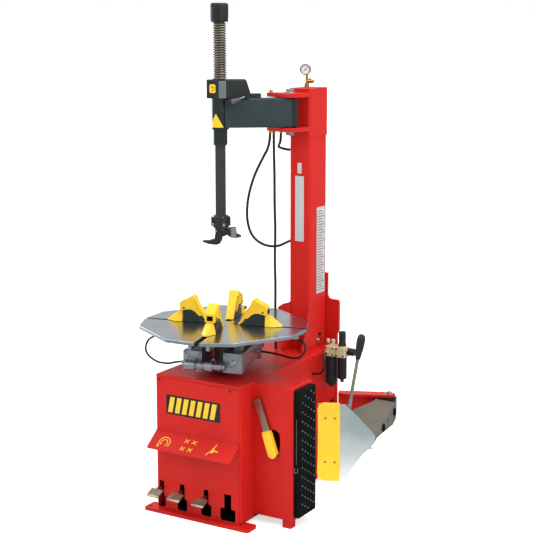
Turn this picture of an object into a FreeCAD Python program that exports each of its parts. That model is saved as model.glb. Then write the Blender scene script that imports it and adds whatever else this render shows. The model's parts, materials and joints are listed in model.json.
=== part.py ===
"""Swing-arm tyre changer: pedal cabinet, turntable with four jaws, column and bead breaker.

Millimetres, +X to the operator's right, +Y away from the operator, +Z up.
Shapes are laid out from the cabinet's front left corner on the floor and are
moved at the end so the origin is the centre of the four floor anchor slots.
"""
import FreeCAD
import Part

import math
import os

V = FreeCAD.Vector
UP = V(0, 0, 1)

# Driving sizes
CAB_W = 360.0            # cabinet width
CAB_D = 694.0            # cabinet depth
CAB_H = 517.0            # height of the cabinet's top deck
SHEET = 3.0              # cabinet sheet thickness
TABLE_Z = 687.0          # top face of the turntable
TABLE_R = 309.0          # corner radius of the turntable
TABLE_X, TABLE_Y = 180.0, 178.0
TABLE_TURN = 15.0        # angle of the first jaw slot from +X at rest
COLUMN_TOP = 1520.0
ARM_PIN = (262.0, 505.0)
ARM_ANGLE = 217.0        # direction of the swing arm from +X at rest
ARM_REACH = 260.0        # arm pin to tool post
RUN_FIT = 0.05           # radial clearance of a pin in its bore
SLIDE_FIT = 0.4          # clearance of a sliding part
HOSE_D = 8.0
RISER_D = 10.0           # air lines hung beside the column

ANCHOR_X = (-28.0, 388.0)
ANCHOR_Y = (-6.0, 686.0)
ORIGIN = V((ANCHOR_X[0] + ANCHOR_X[1]) / 2, (ANCHOR_Y[0] + ANCHOR_Y[1]) / 2, 0)

nodes = {}


# ---------------------------------------------------------------- helpers
def box(x0, y0, z0, x1, y1, z1):
    return Part.makeBox(x1 - x0, y1 - y0, z1 - z0, V(x0, y0, z0))


def rod(radius, start, end):
    start, end = V(*start), V(*end)
    return Part.makeCylinder(radius, (end - start).Length, start, end - start)


def taper(radius_0, radius_1, start, end):
    start, end = V(*start), V(*end)
    return Part.makeCone(radius_0, radius_1, (end - start).Length, start, end - start)


def face(points):
    corners = [V(*p) for p in points]
    return Part.Face(Part.makePolygon(corners + corners[:1]))


def slab(points, z0, z1):
    """Polygon in plan, from z0 up to z1."""
    return face([(x, y, z0) for x, y in points]).extrude(V(0, 0, z1 - z0))


def slab_x(points, x0, x1):
    """Polygon of (y, z) points, from x0 to x1."""
    return face([(x0, y, z) for y, z in points]).extrude(V(x1 - x0, 0, 0))


def slab_y(points, y0, y1):
    """Polygon of (x, z) points, from y0 to y1."""
    return face([(x, y0, z) for x, z in points]).extrude(V(0, y1 - y0, 0))


def join(shapes):
    whole = shapes[0]
    for shape in shapes[1:]:
        whole = whole.fuse(shape)
    return whole.removeSplitter()


def cut(shape, tools):
    for tool in tools:
        shape = shape.cut(tool)
    return shape


def group(shapes):
    return Part.makeCompound(shapes)


def round_edges(shape, radius, wanted):
    edges = [e for e in shape.Edges if wanted(e)]
    return shape.makeFillet(radius, edges)


def along(edge, axis):
    """True if the straight edge runs along the axis number 0, 1 or 2."""
    if len(edge.Vertexes) != 2 or not isinstance(edge.Curve, Part.Line):
        return False
    step = edge.Vertexes[1].Point - edge.Vertexes[0].Point
    others = [abs(step[i]) for i in range(3) if i != axis]
    return abs(step[axis]) > 1e-6 and max(others) < 1e-6


def middle(edge):
    return edge.CenterOfMass


def turned(shape, angle, centre=(0, 0), axis=UP):
    copy = shape.copy()
    copy.rotate(V(centre[0], centre[1], 0), axis, angle)
    return copy


def moved(shape, x, y, z=0.0):
    copy = shape.copy()
    copy.translate(V(x, y, z))
    return copy


def hexagon(across_flats, z0, z1, turn=0.0):
    radius = across_flats / math.sqrt(3)
    corners = [math.radians(turn + 60 * i) for i in range(6)]
    return slab([(radius * math.cos(a), radius * math.sin(a)) for a in corners], z0, z1)


def oblong_y(x, z, width, height, y0, y1):
    """Upright slot with round ends, cut through along Y."""
    half, radius = height / 2 - width / 2, width / 2
    shapes = [
        box(x - radius, y0, z - half, x + radius, y1, z + half),
        rod(radius, (x, y0, z - half), (x, y1, z - half)),
        rod(radius, (x, y0, z + half), (x, y1, z + half)),
    ]
    return join(shapes)


def hose(name, points, diameter=HOSE_D):
    """Bent hose: straight runs between route points joined by tangent arcs."""
    route = [V(*p) for p in points]
    edges = []
    here = route[0]
    length = 0.0
    tightest = 1e9
    for before, corner, after in zip(route, route[1:], route[2:]):
        run_in, run_out = corner - before, after - corner
        half_turn = run_in.getAngle(run_out) / 2
        reach = 0.45 * min(run_in.Length, run_out.Length)
        radius = reach / math.tan(half_turn)
        tightest = min(tightest, radius)
        dir_in = V(run_in).normalize()
        dir_out = V(run_out).normalize()
        start, end = corner - dir_in * reach, corner + dir_out * reach
        towards = (dir_out - dir_in).normalize()
        crown = corner + towards * (radius / math.cos(half_turn) - radius)
        edges.append(Part.LineSegment(here, start).toShape())
        edges.append(Part.Arc(start, crown, end).toShape())
        length += (start - here).Length + 2 * radius * half_turn
        here = end
    edges.append(Part.LineSegment(here, route[-1]).toShape())
    length += (route[-1] - here).Length
    spine = Part.Wire(edges)
    ring = Part.Wire(Part.makeCircle(diameter / 2, route[0], route[1] - route[0]))
    tube = spine.makePipeShell([ring], True, True)
    filled = math.pi * diameter ** 2 / 4 * length
    print(name, "length %.0f mm, tightest bend %.0f mm, volume %.3f of nominal"
          % (length, tightest, tube.Volume / filled))
    nodes[name] = tube


# ---------------------------------------------------------------- cabinet
def build_base_frame():
    front = box(-44, -26, 0, 404, 36, 12)
    rear = box(-44, 644, 0, 404, 706, 12)
    floor_plate = box(SHEET, 8, 12, CAB_W - SHEET, CAB_D - SHEET, 18)
    frame = join([front, rear, floor_plate])
    frame = round_edges(frame, 8, lambda e: along(e, 2) and abs(middle(e).x - 180) > 220)
    slots = []
    for x in ANCHOR_X:
        for y in ANCHOR_Y:
            slots.append(box(x - 5, y - 6, -1, x + 5, y + 6, 13))
            slots.append(rod(6, (x - 5, y, -1), (x - 5, y, 13)))
            slots.append(rod(6, (x + 5, y, -1), (x + 5, y, 13)))
    nodes["base_frame"] = cut(frame, slots)


def build_walls():
    low, high = 18.0, 505.0
    left = join([box(0, 0, low, SHEET, CAB_D - SHEET, high), box(0, 0, low, 16, SHEET, high)])
    left = round_edges(
        left, 2.5, lambda e: along(e, 2) and middle(e).x < 0.1 and middle(e).y < 0.1)
    first_slot = box(SHEET, -1, 17, 17, SHEET + 1, 117)
    nodes["wall_left"] = left.cut(first_slot)
    right = join([box(CAB_W - SHEET, 0, low, CAB_W, CAB_D - SHEET, high),
                  box(CAB_W - 16, 0, low, CAB_W, SHEET, high)])
    hose_hole = rod(5.5, (CAB_W - 5, 514, 444), (CAB_W + 1, 514, 444))
    nodes["wall_right"] = round_edges(
        right, 2.5, lambda e: along(e, 2) and middle(e).x > 359.9 and middle(e).y < 0.1
    ).cut(hose_hole)
    nodes["rear_panel"] = box(0, CAB_D - SHEET, low, CAB_W, CAB_D, high)


def build_top_deck():
    deck = box(0, 0, 505, CAB_W, CAB_D, CAB_H)
    deck = round_edges(deck, 6, lambda e: middle(e).z > CAB_H - 0.1)
    hollow = box(SHEET, SHEET, 504, CAB_W - SHEET, CAB_D - SHEET, CAB_H - SHEET)
    spindle_hole = rod(52, (TABLE_X, TABLE_Y, 500), (TABLE_X, TABLE_Y, 520))
    hose_hole = rod(6.5, (186, 528, 500), (186, 528, 520))
    nodes["top_deck"] = cut(deck, [hollow, spindle_hole, hose_hole])


SLOT_X = (20.0, 110.0, 214.0, 306.0)
SLOT_HALF = ((16.0, 10.0), (21.0, 10.0), (22.0, 10.0), (32.0, 15.0))    # below, above


def pedal_slots():
    """Keyhole openings: wide below, narrow above."""
    tools = []
    for x, (below, above) in zip(SLOT_X, SLOT_HALF):
        wide = box(x - below, -3, 17, x + below, 4, 64)
        tools.append(round_edges(wide, 10, lambda e: along(e, 1)))
        tools.append(box(x - above, -3, 50, x + above, 4, 117))
    return tools


def build_front_panel():
    panel = box(2, -2, 12.5, 354, 0, 504.7)
    panel = round_edges(panel, 1.5, lambda e: along(e, 1))
    tools = [rod(2.5, (259, -3, 25), (259, 1, 25))] + pedal_slots()
    nodes["front_panel"] = cut(panel, tools)


def build_visor():
    depth = 82.0
    plate = box(0, -depth, -2, CAB_W - 3, 0, 0)
    plate = round_edges(plate, 7, lambda e: along(e, 2) and middle(e).y < -depth + 1)
    slope = math.degrees(math.atan2(307 - 256, 65))
    plate.rotate(V(0, 0, 0), V(1, 0, 0), slope)
    plate.translate(V(0, -2, 307))
    flange = box(0, -4, 304, CAB_W - 3, -2, 308)
    nodes["pedal_visor"] = join([plate.cut(box(-1, -2, 250, CAB_W, 10, 320)), flange])


BOX_FRONT = 85.0
BOX_RIGHT = 519.0
LEVER_PEG = (386.0, 443.0)


def build_side_box():
    outer = box(CAB_W, BOX_FRONT, 30, BOX_RIGHT, 228, 514)
    outer = round_edges(outer, 6, lambda e: middle(e).x > 400 and middle(e).z > 31)
    hollow = box(CAB_W - 1, BOX_FRONT + SHEET, 29, BOX_RIGHT - SHEET, 228 - SHEET, 514 - SHEET)
    shell = outer.cut(hollow)
    shell = shell.cut(oblong_y(446, 311, 48, 86, BOX_FRONT - 1, BOX_FRONT + 10))
    foot = box(478, BOX_FRONT + SHEET, 0, 512, BOX_FRONT + 36, 60)
    x, z = LEVER_PEG
    peg = rod(4, (x, 70, z), (x, BOX_FRONT + 1, z))
    nodes["side_box"] = join([shell, foot, peg])


def build_rubber_pad():
    pad = box(BOX_RIGHT, 97, 39, BOX_RIGHT + 22.5, 218, 503)
    nodes["rubber_pad"] = round_edges(
        pad, 7, lambda e: middle(e).x > BOX_RIGHT + 1)


def build_screws():
    heads = []
    for x, z in ((15, 496), (318, 496)):
        heads.append(rod(4, (x, -4, z), (x, -2, z)))
    for z in (545, 568):
        heads.append(rod(6, (316, 640, z), (322, 640, z)))
    for y in (655, 671):
        heads.append(rod(5, (CAB_W, y, 300), (CAB_W + 4, y, 300)))
    nodes["screws"] = group(heads)


# ---------------------------------------------------------------- column
COL_X0, COL_X1, COL_Y0, COL_Y1 = 226.0, 316.0, 562.0, CAB_D


def build_column():
    tube = box(COL_X0, COL_Y0, CAB_H, COL_X1, COL_Y1, COLUMN_TOP - 5)
    tube = round_edges(tube, 11, lambda e: along(e, 2))
    bore = box(COL_X0 + 5, COL_Y0 + 5, CAB_H - 1, COL_X1 - 5, COL_Y1 - 5, COLUMN_TOP)
    side = [(COL_Y0 + 40, CAB_H), (506, CAB_H), (506, 528), (520, 560), (540, 612),
            (554, 660), (COL_Y0, 700), (COL_Y0 + 40, 700)]
    gussets = [slab_x(side, COL_X0, COL_X0 + 5), slab_x(side, COL_X1 - 5, COL_X1)]
    holes = [
        rod(7, (COL_X0 - 5, 578, 938), (COL_X0 + 6, 578, 938)),
        rod(6.5, (COL_X0 - 5, 592, 1284), (COL_X0 + 6, 592, 1284)),
    ]
    nodes["column_tube"] = cut(join([tube] + gussets), [bore] + holes)

    head = box(COL_X0 - 3, COL_Y0 - 3, 1339, COL_X1 + 3, COL_Y1 + 3, COLUMN_TOP)
    head = round_edges(head, 12, lambda e: along(e, 2))
    inside = box(COL_X0, COL_Y0, 1338, COL_X1, COL_Y1, COLUMN_TOP - 5)
    inside = round_edges(inside, 11, lambda e: along(e, 2))
    nodes["column_head"] = head.cut(inside)


def build_spine_plate():
    lobes = [(4, 18), (364, 18), (364, 340), (364, 560), (372, 576), (372, 690), (365, 697),
             (338, 697), (326, 701), (320, 712), (320, 800), (222, 800), (222, 700),
             (214, 684), (196, 678), (118, 654), (98, 640), (90, 618), (90, 505), (4, 505)]
    nodes["spine_plate"] = slab_y(lobes, CAB_D, CAB_D + 12)


def build_hinge_plates():
    outline = [(316, 559), (316, 505), (300, 474), (276, 464), (238, 466), (172, 488),
               (164, 500), (168, 516), (226, 559)]
    x, y = ARM_PIN
    for name, low, high in (("hinge_plate_upper", 1490, 1505), ("hinge_plate_lower", 1363, 1378)):
        plate = slab(outline, low, high)
        nodes[name] = plate.cut(rod(12, (x, y, low - 1), (x, y, high + 1)))


def build_pivot_pins():
    x, y = ARM_PIN
    arm_pin = join([rod(12, (x, y, 1355), (x, y, 1514)),
                    rod(21, (x, y, 1505), (x, y, 1509)),
                    rod(21, (x, y, 1359), (x, y, 1363)),
                    moved(hexagon(30, 1509, 1521), x, y),
                    moved(hexagon(30, 1349, 1359), x, y)])
    x, y = BREAKER_PIN
    low, high = PLATE_LOWS[0], PLATE_LOWS[1] + BREAKER_PLATE
    breaker_pin = join([rod(12, (x, y, low - 2), (x, y, high)),
                        rod(18, (x, y, high), (x, y, high + 2)),
                        moved(hexagon(20, high + 2, high + 8), x, y),
                        rod(20, (x, y, low - 6), (x, y, low))])
    nodes["pivot_pins"] = group([arm_pin, breaker_pin])


GAUGE = V(268, 612, 1589)


def build_gauge():
    facing = V(0.35, -0.937, 0)
    case = Part.makeCylinder(20, 24, GAUGE - facing * 12, facing)
    case = round_edges(case, 3, lambda e: e.Length > 100)
    case = case.cut(Part.makeCylinder(17, 4, GAUGE + facing * 9, facing))
    nodes["gauge_case"] = case
    back = GAUGE - facing * 12
    elbow = back - facing * 14
    stem = join([Part.makeCylinder(5, 14.5, back, facing * -1),
                 Part.makeSphere(8, elbow),
                 rod(6, (elbow.x, elbow.y, COLUMN_TOP), (elbow.x, elbow.y, elbow.z)),
                 moved(hexagon(18, COLUMN_TOP, 1536), elbow.x, elbow.y)])
    branch = join([rod(6, (elbow.x, elbow.y, 1545), (elbow.x + 12, elbow.y, 1545)),
                   rod(9, (elbow.x + 10, elbow.y, 1545), (elbow.x + 24, elbow.y, 1545)),
                   taper(9, 5, (elbow.x + 24, elbow.y, 1545), (elbow.x + 30, elbow.y, 1545))])
    plug = rod(7, (186, 494, 1505), (186, 494, 1515))
    nipples = [rod(6.5, (190, 508, 1352), (190, 508, 1363)),
               rod(6.5, (180, 497, 1352), (180, 497, 1363)),
               rod(6.5, (208, 530, 1352), (208, 530, 1363))]
    nodes["brass_fittings"] = group([join([stem, branch]), plug] + nipples)


# ---------------------------------------------------------------- drive
def build_gearbox():
    housing = box(110, 108, 300, 250, 248, 430)
    housing = round_edges(housing, 14, lambda e: along(e, 2))
    collar = rod(42, (TABLE_X, TABLE_Y, 430), (TABLE_X, TABLE_Y, 462))
    pedestal = box(130, 132, 18, 230, 224, 300)
    bore = rod(25 + RUN_FIT, (TABLE_X, TABLE_Y, 318), (TABLE_X, TABLE_Y, 470))
    nodes["gearbox"] = join([housing, collar, pedestal]).cut(bore)


PEDAL_AXIS = (100.0, 84.0)      # y and z of the pedal shaft


def build_pedal_shaft():
    y, z = PEDAL_AXIS
    shaft = rod(8, (SHEET, y, z), (CAB_W - SHEET, y, z))
    nodes["pedal_shaft"] = shaft


def build_pedals():
    """Three pedals: hub on the shaft, arm through its slot, and a tilted tread."""
    y, z = PEDAL_AXIS
    arm = [(y - 6, z - 13), (y, z + 13), (10, 96), (-26, 98), (-44, 90), (-44, 82),
           (-28, 86), (8, 80)]
    tread = [(-72, 76), (-74, 79), (-69, 84), (-40, 96), (-32, 94), (-31, 90), (-40, 91)]
    for number, x in enumerate(SLOT_X[:3], start=1):
        hub = rod(16, (x - 14, y, z), (x + 14, y, z))
        pedal = join([hub, slab_x(arm, x - 5, x + 5), slab_x(tread, x - 18, x + 34)])
        bore = rod(8 + RUN_FIT, (x - 20, y, z), (x + 20, y, z))
        nodes["pedal_%d" % number] = pedal.cut(bore)


# ---------------------------------------------------------------- turntable
def on_table(shape, turn=0.0):
    """Places a shape made round the table's axis with its slot along +X."""
    return moved(turned(shape, TABLE_TURN + turn), TABLE_X, TABLE_Y)


def build_turntable():
    corners = []
    for quarter in range(4):
        for offset in (-23.0, 0.0, 23.0):
            angle = math.radians(90 * quarter + offset)
            corners.append((TABLE_R * math.cos(angle), TABLE_R * math.sin(angle)))
    plate = slab(corners, TABLE_Z - 12, TABLE_Z)
    plate = round_edges(plate, 1.5, lambda e: middle(e).z > TABLE_Z - 0.1)
    slots = [turned(box(34, -10, 600, 320, 10, 700), 90 * k) for k in range(4)]
    plate = cut(plate, slots)
    rails = []
    for k in range(4):
        for side in (-1, 1):
            rail = box(66, 27, 655, 286, 39, TABLE_Z - 12)
            if side < 0:
                rail = rail.mirror(V(0, 0, 0), V(0, 1, 0))
            rails.append(turned(rail, 90 * k))
    nodes["turntable_plate"] = on_table(join([plate] + rails))

    spindle = rod(25, (0, 0, 322), (0, 0, 540))
    flange = rod(70, (0, 0, 521), (0, 0, 531))
    drum = rod(37, (0, 0, 531), (0, 0, 640))
    carrier = rod(128, (0, 0, 640), (0, 0, 655))
    nodes["turntable_hub"] = on_table(join([spindle, flange, drum, carrier]))


CLAMP_Z = 577.0          # axis height of the two clamp cylinders
CLAMP_SIDE = 75.0        # distance of each clamp cylinder's axis from the spindle


def build_clamps():
    """Two clamp cylinders along the second slot, and the rods that move the second jaw."""
    barrels, rods = [], []
    for side in (-CLAMP_SIDE, CLAMP_SIDE):
        front_cap = box(-140, side - 35, CLAMP_Z - 36, -108, side + 35, CLAMP_Z + 36)
        barrel = box(-108, side - 30, CLAMP_Z - 31, 80, side + 30, CLAMP_Z + 31)
        barrel = round_edges(barrel, 9, lambda e: along(e, 0))
        rear_cap = box(80, side - 35, CLAMP_Z - 36, 108, side + 35, CLAMP_Z + 36)
        mounts = [box(v - 14, side - 14, CLAMP_Z + 31, v + 14, side + 14, 640) for v in (-62, 62)]
        chamber = rod(26 + SLIDE_FIT, (-100, side, CLAMP_Z), (80, side, CLAMP_Z))
        gland = rod(10 + SLIDE_FIT, (70, side, CLAMP_Z), (120, side, CLAMP_Z))
        barrels.append(cut(join([front_cap, barrel, rear_cap] + mounts), [chamber, gland]))
        rods.append(rod(10, (2, side, CLAMP_Z), (168, side, CLAMP_Z)))
        rods.append(rod(26, (-12, side, CLAMP_Z), (2, side, CLAMP_Z)))
    right, left = [on_table(barrel, 90) for barrel in barrels]
    fitting = rod(6.5, (265, 262, CLAMP_Z), (286, 262, CLAMP_Z))
    nodes["clamp_cylinders"] = group([join([right, fitting]), left])

    bar = box(164, -95, CLAMP_Z - 14, 184, 95, CLAMP_Z + 14)
    riser = box(164, -20, CLAMP_Z + 14, 184, 20, 656.5)
    nodes["clamp_rods"] = on_table(join([bar, riser] + rods), 90)

    level = CLAMP_Z - 10
    rings = ((-54, 12), (-40, 15), (-30, 13), (-10, 20), (18, 14), (30, 16), (46, 13), (56, 19),
             (94, 10), (104, None))
    spool = []
    for (start, radius), (end, _) in zip(rings, rings[1:]):
        spool.append(rod(radius, (-161, start, level), (-161, end, level)))
    for y in (-46, 75):
        spool.append(box(-161, y - 7, level - 7, -140, y + 7, level + 7))
    spool = join(spool)
    elbow = rod(6, (126, 9, 575.6), (108, 12, 572))
    nodes["clamp_manifold"] = join([on_table(spool, 90), elbow]).cut(nodes["clamp_cylinders"])


def build_jaws():
    """Four jaws: slider and steel hook, each under a plastic guard."""
    rest_in, rest_out = 64.0, 190.0
    floor = TABLE_Z
    hook = [(66, floor), (152, floor), (152, floor + 20), (150, floor + 60), (158, floor + 66),
            (154, floor + 74), (132, floor + 79), (122, floor + 74), (112, floor + 60)]
    toe = [(153, floor + 0.6), (217, floor + 0.6), (218, floor + 4), (186, floor + 38),
           (158, floor + 38), (158, floor + 58), (153, floor + 58)]
    cap = [(153, floor + 58), (158, floor + 58), (163, floor + 66), (160, floor + 76),
           (140, floor + 84), (118, floor + 91), (114, floor + 88), (117, floor + 78),
           (56, floor + 8), (59, floor + 2), (66, floor + 2), (113, floor + 62),
           (122, floor + 75), (132, floor + 80), (154, floor + 75), (158.6, floor + 66)]
    for number in range(4):
        slider = box(rest_in, -24, 656.5, rest_out, 24, TABLE_Z - 12.5)
        neck = box(rest_in + 4, -10 + SLIDE_FIT, TABLE_Z - 12.5, rest_out - 30,
                   10 - SLIDE_FIT, floor + 1)
        steel = face([(r, -14, z) for r, z in hook]).extrude(V(0, 28, 0))
        steel = steel.cut(box(0, -20, floor - 1, 200, 20, floor + 0.6))
        button = rod(7, (148, 0, floor + 42), (156, 0, floor + 42))
        jaw = join([slider, neck, steel, button])
        nodes["jaw_%d" % (number + 1)] = on_table(jaw, 90 * number)
        toe_block = face([(r, -19, z) for r, z in toe]).extrude(V(0, 38, 0))
        toe_block = toe_block.cut(rod(7.5, (150, 0, floor + 42), (160, 0, floor + 42)))
        toe_block = toe_block.cut(box(158, -15, floor, 205, 15, floor + 34))
        cover = face([(r, -19, z) for r, z in cap]).extrude(V(0, 38, 0))
        guard = join([toe_block, cover]).cut(jaw)
        nodes["jaw_guard_%d" % (number + 1)] = on_table(guard, 90 * number)


# ---------------------------------------------------------------- swing arm and tool post
def on_arm(shape):
    """Places a shape made with the arm pin at the origin and the arm along +X."""
    return moved(turned(shape, ARM_ANGLE), *ARM_PIN)


POST_HEX = 38.0


def build_swing_arm():
    low, high, half = 1380.0, 1488.0, 33.0
    beam = box(-24, -half, low, 244, half, high)
    beam = round_edges(beam, 6, lambda e: along(e, 0))
    hollow = box(30, -half + 4, low + 4, 222, half - 4, high - 4)
    pin_bore = rod(12 + RUN_FIT, (0, 0, low - 1), (0, 0, high + 1))
    sleeve_room = rod(32.5, (ARM_REACH, 0, low - 1), (ARM_REACH, 0, high + 1))
    nodes["arm_beam"] = on_arm(cut(beam, [hollow, pin_bore, sleeve_room]))

    post_room = moved(hexagon(POST_HEX + 2 * SLIDE_FIT, 1300, 1600, 30), ARM_REACH, 0)
    outline = [(150, -36), (150, 36), (238, 42), (268, 40), (309, 4), (309, -4), (268, -40),
               (238, -42)]
    housing = slab(outline, high, 1557)
    slope = slab_y([(140, 1440), (160, 1480), (150, 1510), (166, 1560), (130, 1560)], -50, 50)
    housing = housing.cut(slope)
    housing = round_edges(housing, 4, lambda e: middle(e).z > 1556.9)
    nodes["head_housing"] = on_arm(housing.cut(post_room))

    tube = rod(32.5, (ARM_REACH, 0, 1373), (ARM_REACH, 0, high))
    collar = rod(27, (ARM_REACH, 0, 1322), (ARM_REACH, 0, 1373))
    tip = taper(24, 27, (ARM_REACH, 0, 1314), (ARM_REACH, 0, 1322))
    boss = rod(11, (226, 8, 1474), (226, 37, 1474))
    nodes["post_sleeve"] = on_arm(join([tube, collar, tip, boss]).cut(post_room))
    vent = on_arm(rod(8, (60, 0, low - 1), (60, 0, low + 10)))
    cover = on_arm(box(108, -33, high, 150, 8, high + 16))
    nodes["arm_beam"] = cut(join([nodes["arm_beam"], cover]), [nodes["post_sleeve"], vent])


def build_lock_lever():
    hub = rod(13, (226, 42.4, 1474), (226, 60, 1474))
    pin = rod(6, (226, 37.4, 1474), (226, 42.4, 1474))
    grip = taper(11, 5, (222, 52, 1476), (172, 52, 1496))
    nodes["lock_lever"] = on_arm(join([hub, pin, grip]))


def build_tool_post():
    bar = hexagon(POST_HEX, 1002, 1780, 30)
    nodes["post_bar"] = on_arm(moved(bar, ARM_REACH, 0))

    cap = rod(33, (0, 0, 1766), (0, 0, 1835))
    cap = round_edges(cap, 9, lambda e: middle(e).z > 1830)
    cap = round_edges(cap, 4, lambda e: middle(e).z < 1770 and e.Length > 100)
    cap = cap.cut(hexagon(POST_HEX, 1700, 1780, 30))
    nodes["post_cap"] = on_arm(moved(cap, ARM_REACH, 0))

    turns, wire, coil = 23, 2.0, 24.6
    height = 1766 - 1557 - 2 * wire - 0.6
    spiral = Part.makeHelix(height / turns, height, coil)
    ring = Part.Wire(Part.makeCircle(wire, V(coil, 0, 0), V(0, 1, 0)))
    spring = Part.Wire(spiral).makePipeShell([ring], True, True)
    nodes["post_spring"] = on_arm(moved(spring, ARM_REACH, 0, 1557 + wire + 0.3))


def build_mount_tool():
    collar = join([rod(29, (0, 0, 1006), (0, 0, 1051)), rod(24, (0, 0, 996), (0, 0, 1006))])
    ears = [box(-36, -9, 1012, 36, 9, 1046), rod(7, (0, -36, 1030), (0, 36, 1030))]
    block = slab([(-16, -14), (16, -14), (22, 0), (16, 14), (-16, 14)], 974, 998)
    finger = slab_y([(-10, 990), (20, 990), (24, 962), (44, 957), (66, 957), (69, 953),
                     (44, 944), (18, 941), (4, 946), (-4, 960)], -13, 13)
    finger = round_edges(finger, 3, lambda e: along(e, 1) and middle(e).z < 950)
    wing = slab_y([(-8, 990), (-32, 1004), (-57, 1005), (-59, 982), (-76, 973), (-75, 969),
                   (-56, 966), (-36, 968), (-22, 978), (-8, 972)], -17, 14)
    tool = join([collar, block, finger, wing] + ears)
    tool = tool.cut(hexagon(POST_HEX, 1002, 1100, 30))
    nodes["mount_tool"] = on_arm(moved(tool, ARM_REACH, 0))


# ---------------------------------------------------------------- bead breaker
BREAKER_PIN = (545.0, 795.0)
BREAKER_PLATE = 10.0
ARM_LOW, ARM_HIGH = 232.0, 308.0      # breaker arm's underside and top at its pin
PLATE_LOWS = (ARM_LOW - 14, ARM_HIGH + 4)
BLADE_ORIGIN = (763.0, 229.0)
BLADE_ANGLE = 204.0       # direction from the blade's hinge end to its pressing edge
BLADE_MID_Z = 330.0
BLADE_CURVE = 330.0
BLADE_PIN_LOCAL = (30.0, -49.0)   # hinge pin, in the blade's own directions


def build_breaker_bracket():
    parts = []
    for low in PLATE_LOWS:
        bar = box(0, -25, low, 200, 25, low + BREAKER_PLATE)
        nose = rod(25, (0, 0, low), (0, 0, low + BREAKER_PLATE))
        parts.append(join([bar, nose]))
    parts.append(box(52, -4, PLATE_LOWS[0] + BREAKER_PLATE, 200, 4, PLATE_LOWS[1]))
    bracket = moved(turned(join(parts), 204), *BREAKER_PIN)
    x, y = BREAKER_PIN
    trims = [box(300, 600, 200, 420, CAB_D + 12, 400), rod(12, (x, y, 200), (x, y, 400))]
    nodes["breaker_bracket"] = cut(bracket, trims)


def blade_pin():
    place = on_blade(Part.Vertex(*BLADE_PIN_LOCAL, 0)).Point
    return place.x, place.y


def build_breaker_arm():
    """Hollow arm, deep at the bracket and thin between the blade's lugs."""
    outline = [(512, 812), (514, 700), (508, 534), (560, 470), (676, 256), (742, 284),
               (584, 780), (568, 818), (540, 826)]
    top = [(900, ARM_HIGH), (700, ARM_HIGH), (330, 322), (150, 322)]
    underside = [(150, 304), (330, 304), (700, ARM_LOW), (900, ARM_LOW)]
    solid = slab(outline, 200, 350).common(slab_x(top + underside, 400, 900))
    inner = Part.Wire(face([(x, y, 200) for x, y in outline]).OuterWire).makeOffset2D(-5)
    inside = [(y, z - 5) for y, z in top] + [(y, z + 5) for y, z in underside]
    hollow = Part.Face(inner).extrude(V(0, 0, 150)).common(slab_x(inside, 400, 900))
    bosses = [rod(22, (*BREAKER_PIN, ARM_LOW), (*BREAKER_PIN, ARM_HIGH)),
              rod(18, (*blade_pin(), 304), (*blade_pin(), 322))]
    bores = [rod(12 + RUN_FIT, (*BREAKER_PIN, 200), (*BREAKER_PIN, 400)),
             rod(8 + RUN_FIT, (*blade_pin(), 200), (*blade_pin(), 400))]
    side_hole = rod(13, (600, 565, 284), (700, 588, 284))
    nodes["breaker_arm"] = cut(join([solid.cut(hollow)] + bosses), bores + [side_hole])


def on_blade(shape):
    """Places a shape made with +X towards the pressing edge and the wheel side at +Y."""
    return moved(turned(shape, BLADE_ANGLE), *BLADE_ORIGIN)


def curved_sheet(inner, outer, outline):
    """Sheet bent about a level axis in front of it, trimmed to (x, z) points."""
    centre = (0, BLADE_CURVE, BLADE_MID_Z)
    ring = rod(outer, (-60, centre[1], centre[2]), (300, centre[1], centre[2]))
    ring = ring.cut(rod(inner, (-61, centre[1], centre[2]), (301, centre[1], centre[2])))
    return ring.common(slab_y(outline, -20, BLADE_CURVE - 100))


def build_blade():
    outline = [(192, 190), (192, 463), (97, 461), (4, 356), (-6, 342), (-5, 320), (10, 303),
               (36, 277), (77, 223), (92, 201), (110, 190)]
    plate = curved_sheet(BLADE_CURVE, BLADE_CURVE + 5, outline)
    lugs = []
    for low in (294, 326):
        reach = 4
        lug = join([slab([(12, -49), (48, -49), (64, reach), (4, reach)], low, low + 8),
                    rod(18, (30, -49, low), (30, -49, low + 8))])
        lugs.append(lug.cut(rod(BLADE_CURVE + 2, (-60, BLADE_CURVE, BLADE_MID_Z),
                                (300, BLADE_CURVE, BLADE_MID_Z))))
    pin = join([rod(8, (30, -49, 289), (30, -49, 340)), rod(12, (30, -49, 334), (30, -49, 340)),
                rod(12, (30, -49, 289), (30, -49, 294))])
    nodes["blade_plate"] = on_blade(join([plate] + lugs + [pin]))

    cover = [(194, 210), (194, 444), (187, 459), (173, 465), (116, 465), (116, 188),
             (173, 188), (187, 194)]
    guard = curved_sheet(BLADE_CURVE - 4, BLADE_CURVE + 9, cover)
    room = curved_sheet(BLADE_CURVE, BLADE_CURVE + 5, [(100, 190), (100, 463), (192, 463),
                                                       (192, 190)])
    nodes["blade_guard"] = on_blade(guard.cut(room))
    nodes["blade_plate"] = nodes["blade_plate"].cut(nodes["blade_guard"])


def build_blade_handle():
    bottom, top = V(88, -13, 432), V(44, -13, 704)
    axis = (top - bottom).normalize()
    shaft = Part.makeCylinder(6, 262, bottom, axis)
    socket = Part.makeCylinder(7, 40, bottom, axis)
    weld = box(78, -13, 432, 94, -4, 452)
    grip = Part.makeCylinder(15, 84, bottom + axis * 189, axis)
    grip = round_edges(grip, 9, lambda e: e.Length > 80)
    handle = join([shaft, socket, grip, weld])
    nodes["blade_handle"] = on_blade(handle).cut(nodes["blade_plate"])


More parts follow.
